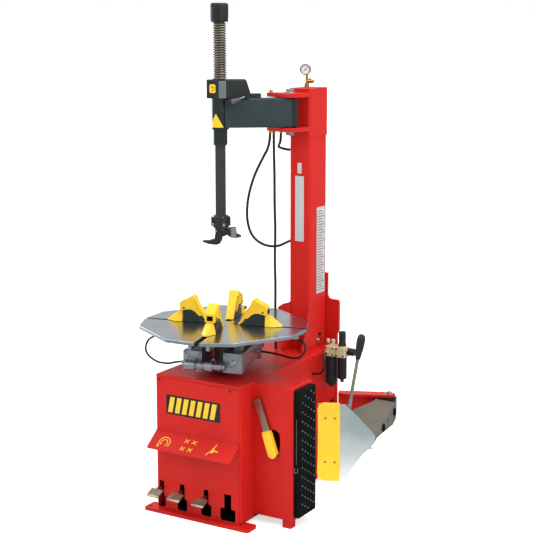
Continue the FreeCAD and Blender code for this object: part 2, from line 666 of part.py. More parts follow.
# ---------------------------------------------------------------- tyre lever
def build_tyre_lever():
    """Flat steel lever with a grip, hung on the peg at its top end."""
    top, knee, end = V(380, 0, 460), V(424, 0, 342), V(452, 0, 260)
    lean = math.degrees(math.atan2(knee.x - top.x, top.z - knee.z))
    bar = box(-13, 72, -132, 13, 80, 0)
    bar = round_edges(bar, 6, lambda e: along(e, 1) and middle(e).z > -1)
    bar.rotate(V(0, 0, 0), V(0, 1, 0), -lean)
    bar.translate(top)
    lean = math.degrees(math.atan2(end.x - knee.x, knee.z - end.z))
    grip = box(-17, 62, -92, 17, 84, 6)
    grip = round_edges(grip, 9, lambda e: True)
    grip.rotate(V(0, 0, 0), V(0, 1, 0), -lean)
    grip.translate(knee)
    x, z = LEVER_PEG
    nodes["tyre_lever"] = join([bar, grip]).cut(rod(4.6, (x, 60, z), (x, 90, z)))


# ---------------------------------------------------------------- air service unit
FRL_X, FRL_Y, FRL_Z = 411.0, 610.0, 518.0


def build_air_unit():
    x, y, z = FRL_X, FRL_Y, FRL_Z
    blocks = []
    for side in (-23, 23):
        module = box(x + side - 20, y - 21, z - 19, x + side + 20, y + 21, z + 19)
        blocks.append(round_edges(module, 4, lambda e: along(e, 2)))
        blocks.append(rod(15, (x + side, y, z + 19), (x + side, y, z + 24)))
    ports = [box(x - 4, y - 17, z - 16, x + 4, y + 17, z + 16),
             rod(9, (x + 43, y, z + 4), (x + 50, y, z + 4)),
             rod(6, (x - 35, y - 6, z + 15), (x - 35, y - 6, z + 38)),
             rod(7, (x - 16, y, z + 24), (x - 16, y, z + 42)),
             rod(6, (x - 30, y - 30, z - 6), (x - 30, y - 21, z - 6)),
             box(CAB_W, y - 14, z - 62, CAB_W + 4, y + 14, z - 14),
             box(CAB_W, y - 14, z - 14, x - 43, y + 14, z - 8)]
    nodes["frl_body"] = join(blocks + ports)

    bowls = []
    for side, length, radius in ((-23, 112, 22), (23, 88, 18)):
        bowl = rod(radius, (x + side, y, z - 19 - length), (x + side, y, z - 19))
        bowl = round_edges(bowl, 7, lambda e: middle(e).z < z - 30)
        bowls.append(join([bowl, rod(5, (x + side, y, z - 31 - length),
                                     (x + side, y, z - 19 - length + 1))]))
    silencer = rod(14, (x + 50, y, z + 4), (x + 76, y, z + 4))
    nodes["frl_bowls"] = group(bowls + [silencer])

    knob = rod(13, (x + 23, y, z + 24.4), (x + 23, y, z + 80))
    nodes["regulator_knob"] = round_edges(knob, 3, lambda e: middle(e).z > z + 80)


# ---------------------------------------------------------------- hoses
def build_hoses():
    hose("hose_loop", [(180, 497, 1352), (180, 497, 1310), (150, 491, 1256), (112, 488, 1185),
                       (84, 488, 1095), (78, 493, 1010), (96, 503, 950), (138, 520, 918),
                       (184, 543, 914), (212, 564, 930), (COL_X0, 578, 938)], RISER_D)
    hose("hose_drop", [(190, 508, 1352), (190, 508, 1290), (192, 510, 1190), (190, 513, 1085),
                       (193, 515, 980), (190, 514, 875), (192, 517, 770), (188, 521, 665),
                       (186, 528, 585), (186, 528, CAB_H)], RISER_D)
    hose("hose_short", [(208, 530, 1352), (208, 530, 1320), (184, 546, 1299), (187, 577, 1289),
                        (203, 592, 1284), (COL_X0, 592, 1284)], RISER_D)
    hose("frl_hose", [(381, 580, 512), (381, 554, 512), (396, 536, 499), (405, 522, 464),
                      (388, 514, 444), (CAB_W, 514, 444)])
    hose("table_hose_left", [(108, 12, 572), (78, 17, 566), (40, 22, 552), (-25, 32, 548),
                             (-84, 44, 576), (-78, 59, 623), (-36, 67, 638), (-24, 68, 658),
                             (-24, 68, TABLE_Z - 12)])
    hose("table_hose_right", [(286, 262, 577), (309, 262, 577), (354, 262, 576), (438, 259, 566),
                              (467, 272, 598), (454, 286, 628), (413, 289, 635), (398, 290, 652),
                              (398, 290, TABLE_Z - 12)])


def build_all():
    build_base_frame()
    build_walls()
    build_top_deck()
    build_front_panel()
    build_visor()
    build_side_box()
    build_rubber_pad()
    build_screws()
    build_column()
    build_spine_plate()
    build_hinge_plates()
    build_pivot_pins()
    build_gauge()
    build_gearbox()
    build_pedal_shaft()
    build_pedals()
    build_turntable()
    build_clamps()
    build_jaws()
    build_swing_arm()
    build_lock_lever()
    build_tool_post()
    build_mount_tool()
    build_breaker_bracket()
    build_breaker_arm()
    build_blade()
    build_blade_handle()
    build_tyre_lever()
    build_air_unit()
    build_hoses()


def export_all():
    os.makedirs("parts", exist_ok=True)
    for name, shape in nodes.items():
        placed = shape.copy()
        placed.translate(ORIGIN * -1)
        placed.exportStep("parts/%s.step" % name)
        solids = placed.Solids
        if not solids or not placed.isValid():
            print("check", name, "solids", len(solids), "valid", placed.isValid())
    print(len(nodes), "parts written")


build_all()
export_all()
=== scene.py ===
import json
import math

import bmesh
import bpy
from mathutils import Matrix, Vector


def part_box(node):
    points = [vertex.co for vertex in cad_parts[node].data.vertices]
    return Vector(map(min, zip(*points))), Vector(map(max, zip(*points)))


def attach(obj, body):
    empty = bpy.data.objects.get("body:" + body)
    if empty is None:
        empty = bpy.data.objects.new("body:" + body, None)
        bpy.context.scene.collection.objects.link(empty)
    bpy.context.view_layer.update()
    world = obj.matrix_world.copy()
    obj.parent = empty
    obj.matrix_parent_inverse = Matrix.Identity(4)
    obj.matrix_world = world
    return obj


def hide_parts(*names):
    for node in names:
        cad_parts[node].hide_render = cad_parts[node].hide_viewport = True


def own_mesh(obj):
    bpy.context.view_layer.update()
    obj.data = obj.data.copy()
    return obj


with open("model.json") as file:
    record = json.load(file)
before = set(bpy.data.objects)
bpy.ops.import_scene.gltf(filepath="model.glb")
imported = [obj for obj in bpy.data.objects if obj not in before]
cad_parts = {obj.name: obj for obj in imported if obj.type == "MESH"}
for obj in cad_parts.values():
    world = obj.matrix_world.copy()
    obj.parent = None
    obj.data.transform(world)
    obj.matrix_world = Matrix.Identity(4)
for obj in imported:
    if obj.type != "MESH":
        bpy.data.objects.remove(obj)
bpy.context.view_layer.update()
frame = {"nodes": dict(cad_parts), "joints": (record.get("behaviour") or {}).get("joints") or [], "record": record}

MM = Matrix.Scale(0.001, 4)
UP = (0, 0, 1)
# Millimetres from the cabinet's front left corner on the floor
ORIGIN_X, ORIGIN_Y = 180, 340
CABINET = Matrix.Translation((-ORIGIN_X / 1000, -ORIGIN_Y / 1000, 0.0)) @ MM


# ---------------------------------------------------------------- places taken from the CAD
def joint_place(name):
    for joint in frame["joints"]:
        if joint["name"] == name:
            return Vector(joint["pos_m"])
    raise KeyError(name)


def centre(node):
    low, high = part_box(node)
    return (low + high) / 2


def standing(place, degrees):
    """Frame in millimetres at a place in plan, turned about +Z, with heights from the floor."""
    return (Matrix.Translation((place.x, place.y, 0.0))
            @ Matrix.Rotation(math.radians(degrees), 4, "Z") @ MM)


SPINDLE = joint_place("turntable_spin")
ARM_PIN = joint_place("arm_swing")
POST = centre("post_bar")
ARM_ANGLE = math.degrees(math.atan2(POST.y - ARM_PIN.y, POST.x - ARM_PIN.x))
TABLE_TURN = 15.0
BLADE_ANGLE = 204.0
BLADE_PIN = joint_place("blade_tilt")
COLUMN_FRONT = 562.0
ARM = standing(ARM_PIN, ARM_ANGLE)
AT_POST = standing(POST, ARM_ANGLE)
BLADE = standing(BLADE_PIN, BLADE_ANGLE) @ Matrix.Translation((-30, 49, 0))


def table_frame(number):
    return standing(SPINDLE, TABLE_TURN + 90 * number)


# ---------------------------------------------------------------- materials
def node(tree, kind, **values):
    made = tree.nodes.new(kind)
    for key, value in values.items():
        if key in made.inputs:
            made.inputs[key].default_value = value
        else:
            setattr(made, key, value)
    return made


def mixed(tree, factor, first, second):
    """Colour mix: first and second are colours or sockets."""
    mix = tree.nodes.new("ShaderNodeMix")
    mix.data_type = "RGBA"
    tree.links.new(factor, mix.inputs["Factor"])
    for socket, value in ((mix.inputs["A"], first), (mix.inputs["B"], second)):
        if isinstance(value, tuple):
            socket.default_value = (*value, 1.0)
        else:
            tree.links.new(value, socket)
    return mix.outputs["Result"]


def ranged(tree, source, from_low, from_high, to_low, to_high):
    step = node(tree, "ShaderNodeMapRange")
    step.inputs["From Min"].default_value = from_low
    step.inputs["From Max"].default_value = from_high
    step.inputs["To Min"].default_value = to_low
    step.inputs["To Max"].default_value = to_high
    tree.links.new(source, step.inputs["Value"])
    return step.outputs["Result"]


def maths(tree, operation, first, second):
    step = node(tree, "ShaderNodeMath", operation=operation)
    for socket, value in zip(step.inputs, (first, second)):
        if isinstance(value, (int, float)):
            socket.default_value = value
        else:
            tree.links.new(value, socket)
    return step.outputs[0]


def noise(tree, place, scale, detail, stretch=(1, 1, 1)):
    mapping = node(tree, "ShaderNodeMapping")
    mapping.inputs["Scale"].default_value = stretch
    tree.links.new(place, mapping.inputs["Vector"])
    made = node(tree, "ShaderNodeTexNoise", Scale=scale, Detail=detail)
    tree.links.new(mapping.outputs["Vector"], made.inputs["Vector"])
    return made.outputs["Fac"]


def floor_reflection_colour(tree, place, broad, base, start, full, bright):
    """Painted reflection of the pale floor on metal: none at the start height, whole at the full height, in
    metres.
    """
    split = node(tree, "ShaderNodeSeparateXYZ")
    tree.links.new(place, split.inputs[0])
    level = maths(tree, "ADD", split.outputs["Z"], ranged(tree, broad, 0, 1, -0.05, 0.05))
    return mixed(tree, ranged(tree, level, start, full, 0.0, 1.0), base, bright)


def worn_colour(tree, place, bevel, base, wear):
    """Patchy wear where the softened normal of an edge leaves the face's own normal."""
    flat = node(tree, "ShaderNodeNewGeometry").outputs["Normal"]
    agree = node(tree, "ShaderNodeVectorMath", operation="DOT_PRODUCT")
    tree.links.new(bevel.outputs["Normal"], agree.inputs[0])
    tree.links.new(flat, agree.inputs[1])
    rim = ranged(tree, agree.outputs["Value"], 0.99, 0.85, 0.0, 1.0)
    patchy = ranged(tree, noise(tree, place, 45.0, 5.0), 0.45, 0.62, 0.0, 0.6)
    return mixed(tree, maths(tree, "MULTIPLY", rim, patchy), base, wear)


def surface(name, colour, tint, metallic=0.0, rough=(0.3, 0.45), coat=0.0, grain=500.0,
            bump=0.05, stretch=(1, 1, 1), blotch=5.0, edge=1.2, wear=None, shine=0.5,
            floor_reflection=None):
    """Shader with two-scale colour change, uneven gloss, fine grain and soft edges.

    edge is the soft radius in millimetres, wear the colour of worn edges, and the last argument
    the start height, full height and colour of a painted reflection of the pale floor.
    """
    material = bpy.data.materials.new(name)
    material.use_nodes = True
    tree = material.node_tree
    shader = tree.nodes["Principled BSDF"]
    shader.inputs["Metallic"].default_value = metallic
    shader.inputs["Coat Weight"].default_value = coat
    shader.inputs["Coat Roughness"].default_value = 0.08
    shader.inputs["Specular IOR Level"].default_value = shine
    place = node(tree, "ShaderNodeTexCoord").outputs["Object"]
    broad = noise(tree, place, blotch, 4.0)
    fine = noise(tree, place, grain, 2.0, stretch)
    base = mixed(tree, ranged(tree, broad, 0.35, 0.7, 0.0, 1.0), colour, tint)
    # painted reflection of the pale floor: the colour turns lighter between two heights
    if floor_reflection:
        base = floor_reflection_colour(tree, place, broad, base, *floor_reflection)
    bevel = node(tree, "ShaderNodeBevel", samples=4, Radius=edge / 1000)
    if wear:
        base = worn_colour(tree, place, bevel, base, wear)
    tree.links.new(base, shader.inputs["Base Color"])
    blend = maths(tree, "MULTIPLY", maths(tree, "ADD", broad, fine), 0.5)
    tree.links.new(ranged(tree, blend, 0.35, 0.65, *rough), shader.inputs["Roughness"])
    relief = node(tree, "ShaderNodeBump", Strength=bump, Distance=0.001)
    tree.links.new(fine, relief.inputs["Height"])
    tree.links.new(bevel.outputs["Normal"], relief.inputs["Normal"])
    tree.links.new(relief.outputs["Normal"], shader.inputs["Normal"])
    return material


# What surface() is told for each look
FINISHES = {
    "red_paint": dict(
        colour=(0.62, 0.017, 0.012), tint=(0.56, 0.013, 0.010), rough=(0.32, 0.44), grain=420.0,
        wear=(0.72, 0.16, 0.12), shine=0.18),
    "charcoal_paint": dict(
        colour=(0.030, 0.047, 0.049), tint=(0.022, 0.034, 0.037), rough=(0.42, 0.58),
        grain=600.0, bump=0.12, wear=(0.12, 0.15, 0.15), shine=0.25),
    "black_paint": dict(
        colour=(0.014, 0.018, 0.018), tint=(0.020, 0.024, 0.023), rough=(0.12, 0.22),
        grain=420.0, wear=(0.08, 0.08, 0.08)),
    "taupe_paint": dict(
        colour=(0.140, 0.128, 0.098), tint=(0.110, 0.102, 0.078), rough=(0.42, 0.60), bump=0.15,
        wear=(0.30, 0.28, 0.25), shine=0.2),
    "galvanised_steel": dict(
        colour=(0.50, 0.53, 0.57), tint=(0.40, 0.43, 0.47), metallic=1.0, rough=(0.16, 0.26),
        grain=260.0, bump=0.03, blotch=7.0),
    "machined_steel": dict(
        colour=(0.52, 0.53, 0.55), tint=(0.36, 0.37, 0.39), metallic=1.0, rough=(0.26, 0.42),
        grain=300.0, bump=0.12, stretch=(1, 1, 0.08), blotch=20.0),
    "zinc_plate": dict(
        colour=(0.46, 0.43, 0.31), tint=(0.34, 0.32, 0.24), metallic=1.0, rough=(0.25, 0.42),
        grain=300.0, bump=0.10, blotch=25.0),
    "worn_steel": dict(
        colour=(0.36, 0.28, 0.19), tint=(0.22, 0.17, 0.12), metallic=1.0, rough=(0.28, 0.45),
        grain=300.0, bump=0.12, blotch=40.0),
    # the blade turns lighter towards its bottom: painted reflection of the pale floor
    "blade_steel": dict(
        colour=(0.60, 0.68, 0.68), tint=(0.50, 0.57, 0.58), metallic=0.8, rough=(0.30, 0.42),
        grain=260.0, blotch=9.0, floor_reflection=(0.36, 0.24, (0.97, 0.97, 0.97))),
    "chrome_bar": dict(
        colour=(0.13, 0.125, 0.105), tint=(0.09, 0.088, 0.078), metallic=1.0,
        rough=(0.30, 0.44), grain=300.0, bump=0.10, stretch=(1, 1, 0.05), blotch=20.0),
    "coil_steel": dict(
        colour=(0.34, 0.29, 0.21), tint=(0.22, 0.20, 0.16), metallic=1.0, rough=(0.28, 0.42),
        grain=300.0, bump=0.08, blotch=20.0),
    "dark_steel": dict(
        colour=(0.090, 0.092, 0.085), tint=(0.050, 0.052, 0.050), metallic=1.0,
        rough=(0.26, 0.44), grain=300.0, bump=0.20, blotch=40.0),
    "cast_iron": dict(
        colour=(0.16, 0.165, 0.17), tint=(0.10, 0.10, 0.11), metallic=0.6, rough=(0.5, 0.7),
        grain=260.0, bump=0.5),
    "cylinder_aluminium": dict(
        colour=(0.52, 0.54, 0.56), tint=(0.38, 0.40, 0.42), metallic=1.0, rough=(0.30, 0.48),
        grain=350.0, bump=0.12),
    "brass": dict(
        colour=(0.62, 0.40, 0.14), tint=(0.48, 0.30, 0.10), metallic=1.0, rough=(0.24, 0.40),
        grain=350.0, bump=0.08, blotch=30.0),
    "yellow_plastic": dict(
        colour=(0.94, 0.60, 0.025), tint=(0.90, 0.54, 0.018), rough=(0.26, 0.40), coat=0.1,
        grain=700.0, bump=0.06, blotch=18.0, wear=(0.84, 0.66, 0.25), shine=0.4),
    "black_plastic": dict(
        colour=(0.016, 0.017, 0.018), tint=(0.028, 0.028, 0.028), rough=(0.34, 0.52),
        grain=800.0, bump=0.15, blotch=14.0, wear=(0.07, 0.07, 0.07), shine=0.22),
    "regulator_plastic": dict(
        colour=(0.66, 0.56, 0.36), tint=(0.52, 0.42, 0.24), rough=(0.32, 0.48), bump=0.10),
    "grey_plastic": dict(
        colour=(0.14, 0.14, 0.135), tint=(0.10, 0.10, 0.10), rough=(0.36, 0.50), grain=600.0,
        bump=0.10, blotch=30.0),
    # lighter grey for the rubber pad's studs: painted highlight on the small bumps
    "stud_sheen_rubber": dict(
        colour=(0.17, 0.18, 0.18), tint=(0.26, 0.28, 0.28), grain=600.0, blotch=30.0),
    "black_rubber": dict(
        colour=(0.003, 0.005, 0.005), tint=(0.007, 0.009, 0.008), rough=(0.50, 0.72), bump=0.25,
        blotch=12.0, shine=0.06),
    "black_hose": dict(
        colour=(0.012, 0.012, 0.012), tint=(0.022, 0.022, 0.022), rough=(0.28, 0.45),
        grain=600.0, bump=0.06, edge=0.2, shine=0.3),
    "label_film": dict(
        colour=(0.58, 0.58, 0.57), tint=(0.50, 0.50, 0.50), rough=(0.35, 0.5), bump=0.03,
        edge=0.1),
    "dial_white": dict(
        colour=(0.80, 0.80, 0.78), tint=(0.74, 0.74, 0.72), rough=(0.30, 0.40), coat=0.3,
        bump=0.02, edge=0.1),
}
LOOKS = {name: surface(name, **finish) for name, finish in FINISHES.items()}
NODE_LOOKS = {"mount_tool": "dark_steel", "screws": "dark_steel", "post_spring": "coil_steel",
              "blade_plate": "blade_steel", "pedal_1": "worn_steel", "pedal_2": "worn_steel",
              "pedal_3": "worn_steel"}


def dress_cad_nodes():
    """Each CAD node gets the look of its slot in the record, or one of its own."""
    for part in frame["record"]["subparts"]:
        shape = frame["nodes"][part["node"]]
        for place in shape.material_slots:
            place.link = "OBJECT"
            place.material = LOOKS[NODE_LOOKS.get(part["node"], part["material_slot"])]


# ---------------------------------------------------------------- mesh helpers
def prism(points, low, high, axis):
    """Polygon of two coordinates, drawn out along the axis numbered 0, 1 or 2."""
    shape = bmesh.new()
    rings = []
    for level in (low, high):
        ring = []
        for pair in points:
            spot = list(pair)
            spot.insert(axis, level)
            ring.append(shape.verts.new(spot))
        rings.append(ring)
    count = len(points)
    for i in range(count):
        j = (i + 1) % count
        shape.faces.new((rings[0][i], rings[0][j], rings[1][j], rings[1][i]))
    shape.faces.new(rings[0])
    shape.faces.new(rings[1])
    bmesh.ops.recalc_face_normals(shape, faces=shape.faces)
    return shape


def block(x0, y0, z0, x1, y1, z1):
    return prism([(x0, y0), (x1, y0), (x1, y1), (x0, y1)], z0, z1, 2)


def close_rings(shape, rings):
    """Faces between neighbouring rings of vertices, and a cap at both ends."""
    for one, two in zip(rings, rings[1:]):
        for k in range(len(one)):
            j = (k + 1) % len(one)
            shape.faces.new((one[k], one[j], two[j], two[k]))
    shape.faces.new(rings[0])
    shape.faces.new(rings[-1])


def lathe(profile, base, axis, segments=40):
    """Solid of revolution: profile is (distance along the axis, radius) pairs."""
    shape = bmesh.new()
    turn = Vector((0, 0, 1)).rotation_difference(Vector(axis)).to_matrix()
    rings = []
    for along, radius in profile:
        ring = []
        for k in range(segments):
            angle = 2 * math.pi * k / segments
            spot = Vector((radius * math.cos(angle), radius * math.sin(angle), along))
            ring.append(shape.verts.new(Vector(base) + turn @ spot))
        rings.append(ring)
    close_rings(shape, rings)
    bmesh.ops.recalc_face_normals(shape, faces=shape.faces)
    return shape


def swept(points, radius, sides=10):
    """Round wire along a list of points."""
    shape = bmesh.new()
    spots = [Vector(p) for p in points]
    rings = []
    side = None
    for i, spot in enumerate(spots):
        before = spots[max(i - 1, 0)]
        after = spots[min(i + 1, len(spots) - 1)]
        ahead = (after - before).normalized()
        if side is None:
            side = ahead.orthogonal().normalized()
        side = (side - ahead * side.dot(ahead)).normalized()
        other = ahead.cross(side)
        ring = []
        for k in range(sides):
            angle = 2 * math.pi * k / sides
            ring.append(shape.verts.new(
                spot + (side * math.cos(angle) + other * math.sin(angle)) * radius))
        rings.append(ring)
    close_rings(shape, rings)
    bmesh.ops.recalc_face_normals(shape, faces=shape.faces)
    return shape


def merged(shapes):
    whole = bmesh.new()
    for shape in shapes:
        mesh = bpy.data.meshes.new("part")
        shape.to_mesh(mesh)
        shape.free()
        whole.from_mesh(mesh)
        bpy.data.meshes.remove(mesh)
    return whole


def piece(name, shape, place, body, slot, look=None, bevel=0.0, segments=3, sharp=35.0):
    """Turns a bmesh in local millimetres into a named piece that rides on a CAD body."""
    mesh = bpy.data.meshes.new(name)
    shape.to_mesh(mesh)
    shape.free()
    mesh.transform(place)
    mesh.polygons.foreach_set("use_smooth", [True] * len(mesh.polygons))
    mesh.set_sharp_from_angle(angle=math.radians(sharp))
    mesh.materials.append(LOOKS[look or slot])
    made = bpy.data.objects.new(name, mesh)
    bpy.context.scene.collection.objects.link(made)
    if bevel:
        soften = made.modifiers.new("soft_edges", "BEVEL")
        soften.width = bevel / 1000
        soften.segments = segments
        soften.limit_method = "ANGLE"
        soften.angle_limit = math.radians(30)
        soften.harden_normals = True
    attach(made, body)
    return made


# ---------------------------------------------------------------- hoses
# Body it rides on, stiffness, lay, length and route, both in metres
HOSES = {
    "hose_loop": ("cabinet", "medium", "loose", 0.589, [
        (0.0, 0.157, 1.352), (0.0, 0.157, 1.310), (-0.030, 0.151, 1.256),
        (-0.068, 0.148, 1.185), (-0.096, 0.148, 1.095), (-0.102, 0.153, 1.010),
        (-0.084, 0.163, 0.950), (-0.042, 0.180, 0.918), (0.004, 0.203, 0.914),
        (0.032, 0.224, 0.930), (0.046, 0.238, 0.938)]),
    "hose_drop": ("cabinet", "medium", "hanging", 0.836, [
        (0.010, 0.168, 1.352), (0.010, 0.168, 1.290), (0.012, 0.170, 1.190),
        (0.010, 0.173, 1.085), (0.013, 0.175, 0.980), (0.010, 0.174, 0.875),
        (0.012, 0.177, 0.770), (0.008, 0.181, 0.665), (0.006, 0.188, 0.585),
        (0.006, 0.188, 0.517)]),
    "hose_short": ("cabinet", "limp", "loose", 0.139, [
        (0.028, 0.190, 1.352), (0.028, 0.190, 1.320), (0.004, 0.206, 1.299),
        (0.007, 0.237, 1.289), (0.023, 0.252, 1.284), (0.046, 0.252, 1.284)]),
    "frl_hose": ("cabinet", "limp", "loose", 0.141, [
        (0.201, 0.240, 0.512), (0.201, 0.214, 0.512), (0.216, 0.196, 0.499),
        (0.225, 0.182, 0.464), (0.208, 0.174, 0.444), (0.180, 0.174, 0.444)]),
    "table_hose_left": ("turntable", "limp", "loose", 0.327, [
        (-0.072, -0.328, 0.572), (-0.102, -0.323, 0.566), (-0.140, -0.318, 0.552),
        (-0.205, -0.308, 0.548), (-0.264, -0.296, 0.576), (-0.258, -0.281, 0.623),
        (-0.216, -0.273, 0.638), (-0.204, -0.272, 0.658), (-0.204, -0.272, 0.675)]),
    "table_hose_right": ("turntable", "limp", "loose", 0.310, [
        (0.106, -0.078, 0.577), (0.129, -0.078, 0.577), (0.174, -0.078, 0.576),
        (0.258, -0.081, 0.566), (0.287, -0.068, 0.598), (0.274, -0.054, 0.628),
        (0.233, -0.051, 0.635), (0.218, -0.050, 0.652), (0.218, -0.050, 0.675)]),
}
HOSE_D = 0.008
RISER_D = 0.010
RISERS = ("hose_loop", "hose_drop", "hose_short")


def build_hoses():
    for name, (body, stiffness, lay, length, route) in HOSES.items():
        curve = bpy.data.curves.new(name, "CURVE")
        curve.dimensions = "3D"
        across = RISER_D if name in RISERS else HOSE_D
        curve.bevel_depth = across / 2
        curve.bevel_resolution = 4
        curve.use_fill_caps = True
        line = curve.splines.new("NURBS")
        line.points.add(len(route) - 1)
        for point, spot in zip(line.points, route):
            point.co = (*spot, 1.0)
        line.order_u = 3
        line.use_endpoint_u = True
        line.resolution_u = 10
        curve.materials.append(LOOKS["black_hose"])
        made = bpy.data.objects.new(name + "_line", curve)
        bpy.context.scene.collection.objects.link(made)
        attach(made, body)
        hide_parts(name)


# ---------------------------------------------------------------- tool post spring
def build_spring():
    low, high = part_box("post_spring")
    turns, steps, radius, wire = 23, 28, 24.4, 2.3
    bottom, top = low.z * 1000 + wire, high.z * 1000 - wire
    points = []
    for k in range(turns * steps + 1):
        angle = 2 * math.pi * k / steps
        height = bottom + (top - bottom) * k / (turns * steps)
        points.append((radius * math.cos(angle), radius * math.sin(angle), height))
    coil = piece("spring_coil", swept(points, wire, 8), AT_POST, "swing_arm", "machined_steel",
                 "coil_steel")
    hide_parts("post_spring")
    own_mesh(coil)


# ---------------------------------------------------------------- jaws
def toe_shape(floor):
    """Ramp outside a jaw: narrow ridge at the crown, wide waist, thin tip."""
    shape = bmesh.new()
    spots = [(157, 12, 39), (177, 11, 36), (157, 19, 1), (179, 26, 1), (218, 5, 1), (218, 4, 5)]
    verts = {}
    for side in (1, -1):
        for i, (r, y, z) in enumerate(spots):
            verts[side, i] = shape.verts.new((r, y * side, floor + z))
    for ring in ((0, 1, 3, 2), (1, 5, 4, 3)):
        for side in (1, -1):
            shape.faces.new([verts[side, i] for i in ring])
    for low, high in ((0, 1), (1, 5), (5, 4), (4, 3), (3, 2), (2, 0)):
        shape.faces.new((verts[1, low], verts[1, high], verts[-1, high], verts[-1, low]))
    bmesh.ops.recalc_face_normals(shape, faces=shape.faces)
    return shape


def build_jaw_guards():
    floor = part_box("turntable_plate")[1].z * 1000
    strap = [(55, 2), (62, 1.5), (72, 14), (112, 63), (122, 76), (112, 88), (104, 80)]
    crown = [(103, 79), (112, 96), (118, 99), (124, 94), (140, 85), (158, 77.5), (166.5, 70),
             (165, 39), (158.6, 39), (158.6, 66), (154, 75.5), (132, 80.5), (121, 75)]
    cheek = [(80, 26), (92, 25), (108, 40), (122, 47), (140, 46), (158.8, 41), (158.8, 66),
             (154, 76), (132, 82), (121, 82), (112, 84)]
    for number in range(4):
        place = table_frame(number)
        body = "jaw_slide_%d" % (number + 1)
        shapes = [
            prism([(r, floor + z) for r, z in strap], -15, 15, 1),
            prism([(r, floor + z) for r, z in crown], -19, 19, 1),
            prism([(r, floor + z) for r, z in cheek], -18.5, -16.7, 1),
            prism([(r, floor + z) for r, z in cheek], 16.7, 18.5, 1),
            toe_shape(floor),
        ]
        guard = piece("guard_%d" % (number + 1), merged(shapes), place, body, "yellow_plastic",
                      bevel=1.6)
        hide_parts("jaw_guard_%d" % (number + 1))
        window = [block(164.5, -11, floor + 45, 167, 11, floor + 62)]
        for k in range(4):
            low = floor + 47 + 3.6 * k
            window.append(block(166.5, -10, low, 168, 10, low + 2))
        piece("grip_face_%d" % (number + 1), merged(window), place, body, "black_paint",
              "black_rubber", 0.5)
        rivets = [lathe([(0, 3.4), (2, 3.4), (3, 2.0)], (150, side * 18.6, floor + 52),
                        (0, side, 0), 16) for side in (1, -1)]
        piece("guard_rivets_%d" % (number + 1), merged(rivets), place, body, "black_paint")
        wedge = [(78, 1), (151, 1), (151, 34), (146, 46), (130, 52), (112, 48), (96, 30)]
        rubber = prism([(r, floor + z) for r, z in wedge], -16.5, 16.5, 1)
        piece("jaw_roller_%d" % (number + 1), rubber, place, body, "black_paint", bevel=5.0,
              segments=4)


# ---------------------------------------------------------------- clamp cylinders
def build_clamp_details():
    """Cap bolts, ribs and fitting rings of the two cylinders under the table."""
    place = table_frame(1)
    level, reach = 577, 75
    bolts, pads = [], []
    for side in (-reach, reach):
        for face, way in ((-140, -1), (108, 1)):
            near, far = sorted((face, face + 3.5 * way))
            for dy in (-1, 1):
                for dz in (-1, 1):
                    bolts.append(lathe([(0, 5), (3, 5), (4, 4)],
                                       (face, side + 28 * dy, level + 29 * dz), (way, 0, 0), 6))
                    corners = [(side + 9 * dy - 3 * dz, level + 9 * dz + 3 * dy),
                               (side + 25 * dy - 3 * dz, level + 25 * dz + 3 * dy),
                               (side + 25 * dy + 3 * dz, level + 25 * dz - 3 * dy),
                               (side + 9 * dy + 3 * dz, level + 9 * dz - 3 * dy)]
                    pads.append(prism(corners, near, far, 0))
            pads.append(lathe([(0, 13), (5, 13), (7, 10)], (face, side, level), (way, 0, 0)))
    piece("cap_bolts", merged(bolts), place, "turntable", "machined_steel", bevel=0.5)
    piece("cap_ribs", merged(pads), place, "turntable", "cylinder_aluminium", bevel=0.9)
    rings = []
    for y, radius, width in ((-36, 15.5, 5), (-20, 14, 4), (0, 20.6, 4), (12, 20.6, 4),
                             (24, 15, 4), (38, 17, 5), (51, 14.2, 4), (62, 19.6, 3),
                             (75, 19.6, 3), (88, 19.6, 3)):
        rings.append(lathe([(0, radius - 1.5), (1, radius), (width - 1, radius),
                            (width, radius - 1.5)], (-161, y - width / 2, level - 10), (0, 1, 0)))
    piece("union_rings", merged(rings), place, "turntable", "machined_steel", bevel=0.6)


# ---------------------------------------------------------------- pressure gauge
def build_gauge():
    low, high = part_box("gauge_case")
    middle = (low + high) / 2
    facing = Vector((0.35, -0.937, 0)).normalized()
    turn = facing.to_track_quat("Z", "Y").to_matrix().to_4x4()
    place = Matrix.Translation(middle) @ turn @ MM
    dial = lathe([(8.8, 16.8), (9.4, 16.8)], (0, 0, 0), UP, 48)
    piece("gauge_dial", dial, place, "cabinet", "machined_steel", "dial_white")
    marks, spaces = [], 27
    for k in range(spaces + 1):
        angle = math.radians(-45 + 270 * k / spaces)
        inner = 12.2 if k % 3 == 0 else 13.9
        way = Vector((math.cos(angle), math.sin(angle)))
        across = Vector((-way.y, way.x)) * 0.35
        corners = [way * inner + across, way * inner - across, way * 15.6 - across,
                   way * 15.6 + across]
        marks.append(prism([tuple(c) for c in corners], 9.3, 9.7, 2))
    marks.append(prism([(-5.2, -3.6), (-3.8, -5.2), (9.6, 8.9), (9.1, 9.4)], 9.9, 10.4, 2))
    marks.append(lathe([(9.4, 2.4), (10.8, 2.0)], (0, 0, 0), UP, 20))
    piece("gauge_marks", merged(marks), place, "cabinet", "black_plastic")
    bezel = lathe([(6, 20.4), (11, 21.3), (13.4, 20.6), (13.4, 18.0), (10.5, 17.1)],
                  (0, 0, 0), UP, 48)
    bmesh.ops.delete(bezel, geom=[f for f in bezel.faces if len(f.verts) > 4], context="FACES")
    piece("gauge_bezel", bezel, place, "cabinet", "machined_steel", sharp=60)


